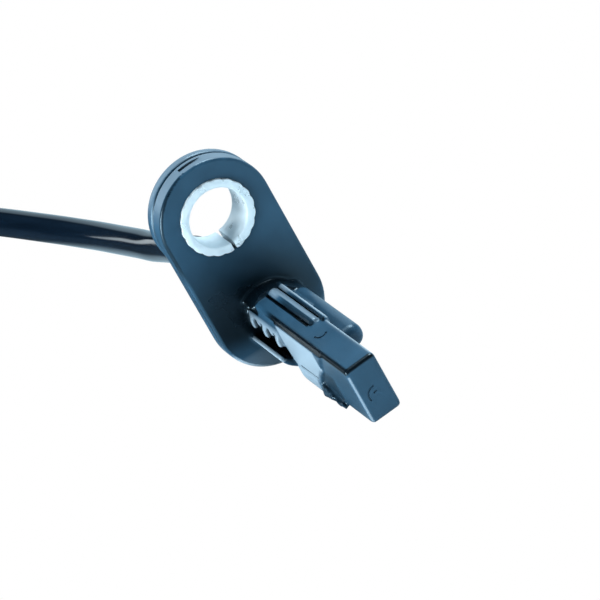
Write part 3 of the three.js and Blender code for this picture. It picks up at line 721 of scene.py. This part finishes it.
def plug_shell():
    """The plug's housing: hollow at both ends, with slots, a latch ramp and grip ribs."""
    x = PLUG[0]
    bm = bmesh.new()
    prism(bm, plug_outline(16.4, 12.4, 3), "X", x * MM, (x + 25) * MM, 0.6 * MM, 4)
    material = moulded("plug", *PLUG_BLACK, 0.45)
    shell = finished("plug_shell_form", bm, material)
    hollows = bmesh.new()
    prism(hollows, plug_outline(13.8, 10, 1.8), "X", (x + 13.5) * MM, (x + 26) * MM)
    prism(hollows, plug_outline(11, 6.6, 1.6), "X", (x - 1) * MM, (x + 10.5) * MM)
    cut_from(shell, "plug_hollows", hollows)
    slots = bmesh.new()
    plug_box(slots, (6.5, -4.7, 3), (9.5, 4.7, 7))
    for side in (-1, 1):
        plug_box(slots, (10, 2.3 * side - 0.95, -0.6), (14, 2.3 * side + 0.95, 0.6))
    cut_from(shell, "plug_slots", slots)
    latch = ((17.5, 5.9), (22, 5.9), (21.6, 6.4), (18.4, 7.6), (17.5, 7.6))
    bm = bmesh.new()
    bm.from_mesh(shell.data)
    prism(bm, [((x + a) * MM, (PLUG[2] + b) * MM) for a, b in latch], "Y", (PLUG[1] - 2.5) * MM,
          (PLUG[1] + 2.5) * MM, 0.2 * MM)
    for side in (-1, 1):
        wall = PLUG[1] + side * 8.2
        for low in (-2.6, -0.5, 1.6):
            rounded_box(bm, ((x + 1.5) * MM, (wall - 0.35) * MM, (PLUG[2] + low) * MM),
                        ((x + 9) * MM, (wall + 0.35) * MM, (PLUG[2] + low + 1) * MM), 0.2 * MM)
    bpy.data.objects.remove(shell)
    return finished("plug_body", bm, material, 35)


def plug_cap():
    """The plug's rear cap, and the stepped neck that holds the cable."""
    x = PLUG[0]
    bm = bmesh.new()
    prism(bm, plug_outline(15.5, 11.5, 2.5), "X", (x - 1.75) * MM, (x - 0.15) * MM, 0.4 * MM)
    neck = ((-1.7, 2.25), (-1.7, 4.6), (-2.1, 4.1), (-3.1, 3.6), (-5, 3.4), (-5.2, 3.7),
            (-5.9, 3.65), (-6.1, 3.25), (-7, 3.15), (-7.2, 3.45), (-7.9, 3.4), (-8.1, 3.0),
            (-9.6, 2.85), (-9.9, 2.7), (-10, 2.5), (-10, 2.25))
    profile = [((x + a) * MM, r * MM) for a, r in neck]
    turned(bm, profile, (PLUG[1] * MM, PLUG[2] * MM), 64, closed=True)
    return finished("plug_rear", bm, moulded("plug_cap", *PLUG_BLACK, 0.5), 35)


class SENSOR_OT_lead(bpy.types.Operator):
    """Lays the cable: out of the housing, down to the floor, round its taped hank and into the plug"""

    bl_idname = "sensor.lead"
    bl_label = "Lead"

    def execute(self, context):
        radius = sizes().cable_diameter / 2
        route = cable_route()
        bm, length = tube_mesh(route, radius)
        cable = finished("cable", bm, jacket_material(), 60)
        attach(cable, "root")
        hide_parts("cable_tube", "cable_hank", "cable_tail")
        on_cord = [(tape_band(x, side, name), f"hank_band_{name}", "tape") for x, side, name in BANDS]
        on_cord += [(plug_shell(), "plug_shell", "plug"), (plug_cap(), "plug_cap", "plug")]
        for piece, node, slot in on_cord:
            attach(piece, "root")
            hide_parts(node)
        return {"FINISHED"}


class SENSOR_OT_boot(bpy.types.Operator):
    """Turns the soft boot that guards the cable where it leaves the housing"""

    bl_idname = "sensor.boot"
    bl_label = "Boot"

    def execute(self, context):
        profile = [(-11.1, 2.2), (-11.1, 3.4), (-14.15, 3.4), (-14.15, 4.3), (-14.35, 4.48), (-15, 4.48),
                   (-15.2, 4.3), (-15.5, 3.7), (-16, 3.42)]
        for start in (-16.8, -19.4, -22):
            radius = 3.4 + (2.85 - 3.4) * (-14 - start) / 14
            profile += [(start - 1.1 * i / 8, radius + 0.45 * math.sin(math.pi * i / 8))
                        for i in range(9)]
        profile += [(-27.3, 2.85), (-27.75, 2.75), (-27.98, 2.5), (-27.98, 2.2)]
        bm = bmesh.new()
        turned(bm, [(x * MM, r * MM) for x, r in profile], (0, HEAD_Z), 72, closed=True)
        rubber = moulded("boot", (0.004, 0.007, 0.012), (0.03, 0.045, 0.06), 0.5, 0.4, 1800, 0.03)
        boot = finished("boot", bm, rubber)
        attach(boot, "root")
        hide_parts("strain_relief_boot")
        return {"FINISHED"}


# Housing


def stadium(top_radius, top_z, low_radius, low_z, steps=48):
    """Two round ends and their outer tangents, drawn in Y and Z."""
    lean = math.degrees(math.asin((top_radius - low_radius) / (top_z - low_z)))
    return (arc((0, top_z), top_radius, -lean, 180 + lean, steps)
            + arc((0, low_z), low_radius, 180 + lean, 360 - lean, steps))


def flange_forms(bm):
    """The flange in three layers, with the groove in its rim between the outer two."""
    r = sizes().flange_radius
    prism(bm, stadium(r, BOLT_Z, r, -BOLT_Z), "X", -2.85 * MM, 0, 0.35 * MM)
    prism(bm, stadium(r - 0.5 * MM, BOLT_Z, 5.1 * MM, HEAD_Z), "X", -3.6 * MM, -2.6 * MM)
    prism(bm, stadium(r, BOLT_Z, 5.6 * MM, HEAD_Z), "X", -4.8 * MM, -3.3 * MM, 0.35 * MM)


def head_forms(bm):
    """The collar, the head's round root with its open pocket and lip, and the long blade."""
    z = HEAD_Z
    collar = arc((0, z), 4.95 * MM, -15, 126, 56) + [(-2.2 * MM, z + 3.4 * MM)]
    prism(bm, collar, "X", -1.5 * MM, 3 * MM, 0.3 * MM)
    solid_side = arc((0, z), 4.4 * MM, -120, 90, 60) + [(-2.2 * MM, z + 3.5 * MM)]
    prism(bm, solid_side, "X", -1.4 * MM, 9.5 * MM, 0.5 * MM)
    wall = arc((0, z), 4.4 * MM, 193, 250, 24) + arc((0, z), 3.75 * MM, 250, 193, 24)
    prism(bm, wall, "X", -1.3 * MM, 9.5 * MM, 0.25 * MM)
    front_lip = arc((0, z), 4.3 * MM, 195, 250, 24) + [(-2.0 * MM, z - 3.2 * MM), (-2.0 * MM, z - 2.6 * MM)]
    prism(bm, front_lip, "X", 8.7 * MM, 9.4 * MM, 0.2 * MM)
    blade = rounded_outline(4.7 * MM, 8.94 * MM, 0.6 * MM, (0, z), 6)
    prism(bm, blade, "X", -1.2 * MM, 32.05 * MM, 0.45 * MM)


def ridge_forms(bm):
    """The ridge and the edge strip on the blade's top, and the round key rib along its far side."""
    ridge = rounded_outline(1.4 * MM, 2.0 * MM, 0.65 * MM, (0.85 * MM, BLADE_TOP - 0.4 * MM))
    prism(bm, ridge, "X", 3 * MM, 16.9 * MM, 0.5 * MM)
    edge_strip = rounded_outline(0.75 * MM, 1.4 * MM, 0.35 * MM, (2.2 * MM, BLADE_TOP - 0.35 * MM), 5)
    prism(bm, edge_strip, "X", 2 * MM, 17.8 * MM, 0.3 * MM)
    key = rounded_outline(4.4 * MM, 3.4 * MM, 1.6 * MM, (3.2 * MM, HEAD_Z + 1.0 * MM), 10)
    prism(bm, key, "X", -1 * MM, 20.2 * MM, 1.3 * MM, 5)


def pocket_forms(bm):
    """The spine on the blade's side and the ribs that hang from it, every second one short."""
    spine = ((-2.2, 3.1), (-2.75, 2.85), (-3.0, 2.35), (-2.8, 1.8), (-2.2, 1.6))
    prism(bm, on_head(spine), "X", 0.2 * MM, 9.7 * MM, 0.15 * MM)
    long_rib = ((-2.2, 2.7), (-2.9, 2.5), (-3.3, 1.5), (-3.4, 0.5), (-3.2, 0.2), (-2.2, 0.2))
    short_rib = ((-2.2, 2.7), (-2.85, 2.5), (-3.05, 1.8), (-3.0, 1.15), (-2.2, 1.1))
    for i in range(5):
        outline = long_rib if i % 2 == 0 else short_rib
        middle = 0.8 + 2.1 * i
        prism(bm, on_head(outline), "X", (middle - 0.5) * MM, (middle + 0.5) * MM, 0.22 * MM)


def pad_forms(bm):
    """The thin pad on the blade's near side, and the thicker heel at its foot."""
    pad = ((9.3, 3.95), (9.3, 0.2), (9.9, -1.6), (10.9, -3.4), (12.2, -4.2), (18.2, -4.2), (18.4, -2.4),
           (19.6, -1.2), (20.4, -0.6), (21.1, 0.2), (21.8, 0.95), (23.6, 3.2), (24.5, 3.95))
    prism(bm, on_head(pad), "Y", -2.66 * MM, -2.0 * MM, 0.12 * MM)
    heel = ((11.2, -2.2), (11.2, -4.2), (12.4, -4.55), (17.6, -4.55), (18.3, -4.1), (18.3, -2.3))
    prism(bm, on_head(heel), "Y", -2.9 * MM, -2.0 * MM, 0.2 * MM)


def torn_gate(bm):
    """The ragged stub left where the moulding was broken off its runner."""
    noise.seed_set(1)
    own = bmesh.new()
    outline = ((17.9, -3.3), (19.2, -2.9), (20.8, -3.1), (22.3, -3.6), (24.2, -4.0), (24.4, -4.5),
               (21.5, -4.65), (18.6, -4.5))
    prism(own, on_head(outline), "Y", -3.05 * MM, -2.1 * MM)
    bmesh.ops.triangulate(own, faces=own.faces)
    bmesh.ops.subdivide_edges(own, edges=own.edges, cuts=4, use_grid_fill=True)
    for v in own.verts:
        if v.co.y < -2.5 * MM:
            v.co += noise.noise_vector(v.co * 1400) * 0.5 * MM
            v.co.z = max(v.co.z, HEAD_Z - 4.6 * MM)
    mesh = bpy.data.meshes.new("gate")
    own.to_mesh(mesh)
    own.free()
    bm.from_mesh(mesh)
    bpy.data.meshes.remove(mesh)


def barrel_form(bm):
    """The round rear housing, its end rim rounded."""
    r = 5.6 * MM
    profile = [(-13.95 * MM, 0), (-13.95 * MM, r - 0.7 * MM), (-13.75 * MM, r - 0.25 * MM), (-13.3 * MM, r),
               (-3.4 * MM, r), (-3.4 * MM, 0)]
    turned(bm, profile, (0, HEAD_Z))


def cutters():
    """What is cut from the joined forms: the sleeve's seat, the inner bay, and the fine marks."""
    bm = bmesh.new()
    r = sizes().sleeve_radius
    turned(bm, [(-6 * MM, 0), (-6 * MM, r), (1 * MM, r), (1 * MM, 0)], (0, BOLT_Z))
    # The bay of the inner parts, in the head and in the rear housing
    rounded_box(bm, (-2.7 * MM, -1.25 * MM, HEAD_Z - 3.2 * MM), (31 * MM, 1.25 * MM, HEAD_Z + 3.2 * MM))
    turned(bm, [(-15 * MM, 0), (-15 * MM, 3.6 * MM), (-2.8 * MM, 3.6 * MM), (-2.8 * MM, 0)], (0, HEAD_Z))
    # The slot in the flange's rim, and the slit beside the pad
    rounded_box(bm, (-1.9 * MM, -1.2 * MM, BOLT_Z + 7.92 * MM), (-1.15 * MM, 2.4 * MM, BOLT_Z + 9 * MM))
    rounded_box(bm, (12.5 * MM, -3.6 * MM, HEAD_Z - 2.1 * MM),
                (18.2 * MM, -2.5 * MM, HEAD_Z - 1.95 * MM))
    # The grooves beside the ridge
    for low, high in ((-0.35, 0.12), (1.58, 1.8)):
        rounded_box(bm, (3.1 * MM, low * MM, BLADE_TOP - 0.35 * MM),
                    (16.4 * MM, high * MM, BLADE_TOP + 0.6 * MM))
    # The ejector's mark on the blade's top, and the mark on its tip
    ejector = arc((20.1, 0), 0.95, -110, 60, 24) + arc((20.1, 0), 0.68, 60, -110, 24)
    outline = [(x * MM, y * MM) for x, y in ejector]
    prism(bm, outline, "Z", BLADE_TOP - 0.1 * MM, BLADE_TOP + 0.5 * MM)
    for start, end, radius in ((85, 205, 1.2), (60, 150, 0.35)):
        stroke = (arc((0.1, -0.77), radius + 0.12, start, end, 24)
                  + arc((0.1, -0.77), radius - 0.12, end, start, 24))
        prism(bm, on_head(stroke), "X", 31.96 * MM, 33 * MM)
    return bm


def near(value, low, high, fade):
    """1 between low and high, falling smoothly to 0 over the fade outside them."""
    return ramp(value, low - fade, low) * (1 - ramp(value, high, high + fade))


def painted_light_and_shade(place, normal):
    """How much painted shade (below 0) or painted light (above 0) darkens or pales the moulding's
    plain colour at a place, in millimetres from the head's axis at the seat face."""
    x, y, z = place.x / MM, place.y / MM, (place.z - HEAD_Z) / MM
    tone = 0.0
    # Blade: painted dark reflection on its near upper edge and on its tip's upper edge, painted
    # highlight on its far upper edge and on its tip's near edge
    if x > 2.5 and z > 3.85:
        tone -= ramp(-normal.y, 0.05, 0.2) * ramp(normal.z, 0.05, 0.2) * ramp(x, 5, 9)
        tone += 0.5 * ramp(normal.y, 0.25, 0.6) * ramp(normal.z, 0.2, 0.5) * ramp(y, 1.6, 2.1)
    if x > 31 and z > 3.5:
        tone -= ramp(normal.x, 0.05, 0.2) * ramp(normal.z, 0.05, 0.2)
    if x > 31 and y < -1.8 and z < 3.4:
        tone += 0.35 * ramp(normal.x, 0.2, 0.5) * ramp(-normal.y, 0.2, 0.5)
    # Pad: painted highlight on it, and painted shade beyond its slanted front and over the torn gate below
    # that
    if y < -2.2 and x > 10:
        front = 18.2 + 3.6 * ramp(z, -3, 1.4)
        tone += 0.42 * near(x, 9.6, front, 0.25) * near(z, -4.6, 3.85, 0.2)
        tone -= 0.25 * ramp(x, front, front + 0.5)
        tone -= 0.4 * near(x, front + 0.2, 23.5, 1.5) * near(z, -4.6, -0.3, 1.2)
    # Painted highlights on the ribs, the ridge's upper faces and the lip; painted shade in the pocket
    # and on the collar's near end
    if y < -2.5 and 0.4 < x < 10 and 0 < z < 3.2:
        tone += 0.4 * ramp(-y, 2.5, 3.1)
    if z > 4.6 and 3 < x < 17.2:
        tone += 0.3 * normal.z
    if y < -3.2 and 0.4 < x < 9.8 and -1.8 < z < -0.4:
        tone += 0.5
    if y < -2.3 and 0.4 < x < 9 and math.hypot(y, z) < 3.7 and z < 0.3:
        tone -= 0.9
    if y < -2.3 and 0.2 < x < 3.4 and z > 2.9:
        tone -= 0.8
    # Flange's face: painted shade round the head's root, reaching less far downwards, and painted
    # light at its lower end
    if -0.5 < x < 3.2 and not (x > 0.4 and y < -2.4 and z < 2.9):
        reach = math.hypot(y + 2.8, (z - 1.6) * (1 if z > 1.6 else 2.8))
        tone -= 0.97 * (1 - ramp(reach, 4, 15.5))
    if abs(x) < 0.6 and normal.x > 0.5:
        tone += 0.2 * (1 - ramp(z, -6.5, 0.5))
    # Flange's rim: painted highlight on its top, painted shade in its groove, and on its near bevel
    # painted light below and painted shade above
    if -5 < x < -0.2 and z > 14:
        tone += 0.25 * ramp(normal.z, 0.3, 0.9)
    if -3.35 < x < -2.8 and z > 0:
        tone -= 0.8
    if -3 < x < 0 and y < 0 and normal.x > 0.15 and normal.y < -0.15:
        tone += 0.45 - 1.25 * ramp(z, 9, 15)
    return max(-1.0, min(1.0, tone))


def paint_light_and_shade(mesh):
    """Writes the painted light and shade of each place into the attribute tone, which the moulded skin
    reads.
    """
    tone = mesh.attributes.new("tone", "FLOAT", "POINT")
    tone.data.foreach_set("value", [painted_light_and_shade(v.co, v.normal) for v in mesh.vertices])


def joined_forms(name, bm, voxel, smoothing):
    """Joins overlapping closed forms into one skin by a voxel remesh, and softens it."""
    mesh = bpy.data.meshes.new(name)
    bm.to_mesh(mesh)
    bm.free()
    piece = linked(name, mesh)
    remesh = piece.modifiers.new("join", "REMESH")
    remesh.mode = "VOXEL"
    remesh.voxel_size = voxel
    soften = piece.modifiers.new("soften", "SMOOTH")
    soften.factor = 0.5
    soften.iterations = smoothing
    return piece


class SENSOR_OT_housing(bpy.types.Operator):
    """Builds the one-piece moulding: flange, head and rear housing"""

    bl_idname = "sensor.housing"
    bl_label = "Housing"

    def execute(self, context):
        bm = bmesh.new()
        for forms in (flange_forms, head_forms, ridge_forms, pocket_forms, pad_forms, torn_gate,
                      barrel_form):
            forms(bm)
        housing = applied(joined_forms("housing", bm, sizes().grain, 3))
        cut_from(housing, "housing_cutters", cutters())
        colour = colours().housing
        # The pale colour is that of the painted highlights; the skin also paints shade into hollows
        skin = moulded("housing", colour, [2 * c + 0.01 for c in colour], roughness=0.34, wear=0.35,
                       pale=(0.50, 0.60, 0.68), tint=(0.62, 0.85, 1.0))
        mesh = housing.data
        # Painted light and shade of the moulding go into its attribute tone
        paint_light_and_shade(mesh)
        mesh.materials.clear()
        mesh.materials.append(skin)
        mesh.polygons.foreach_set("material_index", [0] * len(mesh.polygons))
        smoothed(mesh, 50)
        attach(housing, "root")
        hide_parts("sensor_body")
        return {"FINISHED"}


# Bolt sleeve


def sleeve_outline(inner, outer, seam, flutes=20, flute_depth=0.14 * MM, steps=240):
    """A ring with a scalloped outside, open at the seam below, drawn in Y and Z."""
    half_out = math.degrees(seam / 2 / outer)
    half_in = math.degrees(seam / 2 / inner)
    points = []
    for i in range(steps + 1):
        angle = -90 + half_out + (360 - 2 * half_out) * i / steps
        dip = flute_depth * (1 - abs(math.sin(math.radians(flutes * (angle + 90) / 2))))
        points.append(on_circle((0, BOLT_Z), outer - dip, angle))
    points += arc((0, BOLT_Z), inner, 270 - half_in, -90 + half_in, 120)
    return points


class SENSOR_OT_sleeve(bpy.types.Operator):
    """Rolls the steel sleeve, with its seam and its fluted outside"""

    bl_idname = "sensor.sleeve"
    bl_label = "Bolt sleeve"

    def execute(self, context):
        outline = sleeve_outline(sizes().sleeve_bore, sizes().sleeve_radius - 0.01 * MM, 0.5 * MM)
        bm = bmesh.new()
        prism(bm, outline, "X", -4.98 * MM, 0.39 * MM, 0.12 * MM, 2)
        steel = metal("sleeve_steel", colours().steel, 0.34, 500, 0.015, 0.45, 0.9)
        sleeve = finished("sleeve", bm, steel, 35)
        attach(sleeve, "root")
        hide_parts("bolt_sleeve")
        return {"FINISHED"}


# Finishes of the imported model's own nodes


def node_finishes():
    """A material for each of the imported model's node names, or starts of names."""
    return {
        "chip_carrier": moulded("carrier", (0.012, 0.012, 0.013), (0.05, 0.05, 0.05)),
        "sensor_chip": moulded("chip", (0.008, 0.008, 0.009), (0.04, 0.04, 0.04), 0.35),
        "bias_magnet": metal("magnet", (0.25, 0.26, 0.27), 0.5, 1500),
        "capacitor": moulded("ceramic", (0.32, 0.16, 0.06), (0.45, 0.3, 0.15), 0.5),
        "lead_": metal("tinned", (0.6, 0.58, 0.54), 0.3, 700),
        "plug_pin_": metal("tinned_pin", (0.62, 0.6, 0.55), 0.28, 700),
        "conductor_": metal("copper", COPPER, 0.35, 3000),
        "plug_conductor_": metal("copper_tail", COPPER, 0.35, 3000),
        "core_insulation_supply": moulded("core_brown", *CORE_BROWN, 0.4),
        "core_insulation_signal": moulded("core_blue", *CORE_BLUE, 0.4),
        "plug_core_supply": moulded("core_brown_tail", *CORE_BROWN, 0.4),
        "plug_core_signal": moulded("core_blue_tail", *CORE_BLUE, 0.4),
        "plug_seal": moulded("seal", (0.20, 0.04, 0.015), (0.4, 0.15, 0.08), 0.6),
        "plug_lock": moulded("lock", (0.35, 0.37, 0.38), (0.5, 0.52, 0.53), 0.45),
    }


class SENSOR_OT_finishes(bpy.types.Operator):
    """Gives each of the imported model's own nodes its material"""

    bl_idname = "sensor.finishes"
    bl_label = "Node finishes"

    def execute(self, context):
        finishes = node_finishes()
        for name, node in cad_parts.items():
            starts = [key for key in finishes if name.startswith(key)]
            if starts:
                node.data.materials.clear()
                node.data.materials.append(finishes[max(starts, key=len)])
        return {"FINISHED"}


class SENSOR_PT_panel(bpy.types.Panel):
    """Lists the steps that build the sensor"""

    bl_idname = "SENSOR_PT_panel"
    bl_label = "Sensor"
    bl_space_type = "VIEW_3D"
    bl_region_type = "UI"
    bl_category = "Sensor"

    def draw(self, context):
        for step in STEPS:
            self.layout.operator(step.bl_idname)


STEPS = (SENSOR_OT_stage, SENSOR_OT_lead, SENSOR_OT_boot, SENSOR_OT_housing, SENSOR_OT_sleeve,
         SENSOR_OT_finishes)
CLASSES = (SensorSizes, SensorColours, *STEPS, SENSOR_PT_panel)


def register():
    for cls in CLASSES:
        bpy.utils.register_class(cls)
    bpy.types.Scene.sensor_sizes = PointerProperty(type=SensorSizes)
    bpy.types.Scene.sensor_colours = PointerProperty(type=SensorColours)


def unregister():
    del bpy.types.Scene.sensor_colours
    del bpy.types.Scene.sensor_sizes
    for cls in reversed(CLASSES):
        bpy.utils.unregister_class(cls)


def main():
    register()
    bpy.ops.sensor.stage()
    bpy.ops.sensor.lead()
    bpy.ops.sensor.boot()
    bpy.ops.sensor.housing()
    bpy.ops.sensor.sleeve()
    bpy.ops.sensor.finishes()


if __name__ == "__main__":
    main()
